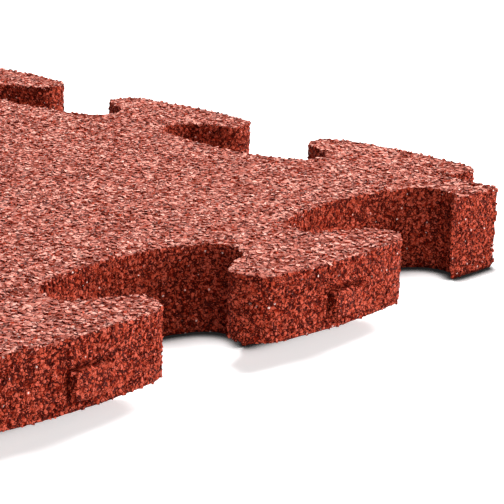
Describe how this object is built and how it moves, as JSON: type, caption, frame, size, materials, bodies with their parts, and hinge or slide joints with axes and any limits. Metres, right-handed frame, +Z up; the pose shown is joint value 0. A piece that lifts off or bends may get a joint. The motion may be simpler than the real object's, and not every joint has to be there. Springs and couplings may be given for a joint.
{
  "type": "interlocking rubber safety tile",
  "caption": "Square red rubber-granule floor tile, all four sides cut as dovetailed puzzle tabs and pockets, with a small boss on the end of each tab.",
  "frame": {"origin": "middle of the flat underside, on the floor", "axes": "+Z up out of the walking surface, +X and +Y along the tile's sides; the corner that the picture shows at its right edge is the +X -Y one"},
  "size_m": [0.549, 0.549, 0.03],
  "materials": {
    "red_rubber_granulate": "matt bound granules"
  },
  "bodies": {
    "root": {"safety_tile": "red_rubber_granulate"}
  },
  "joints": []
}
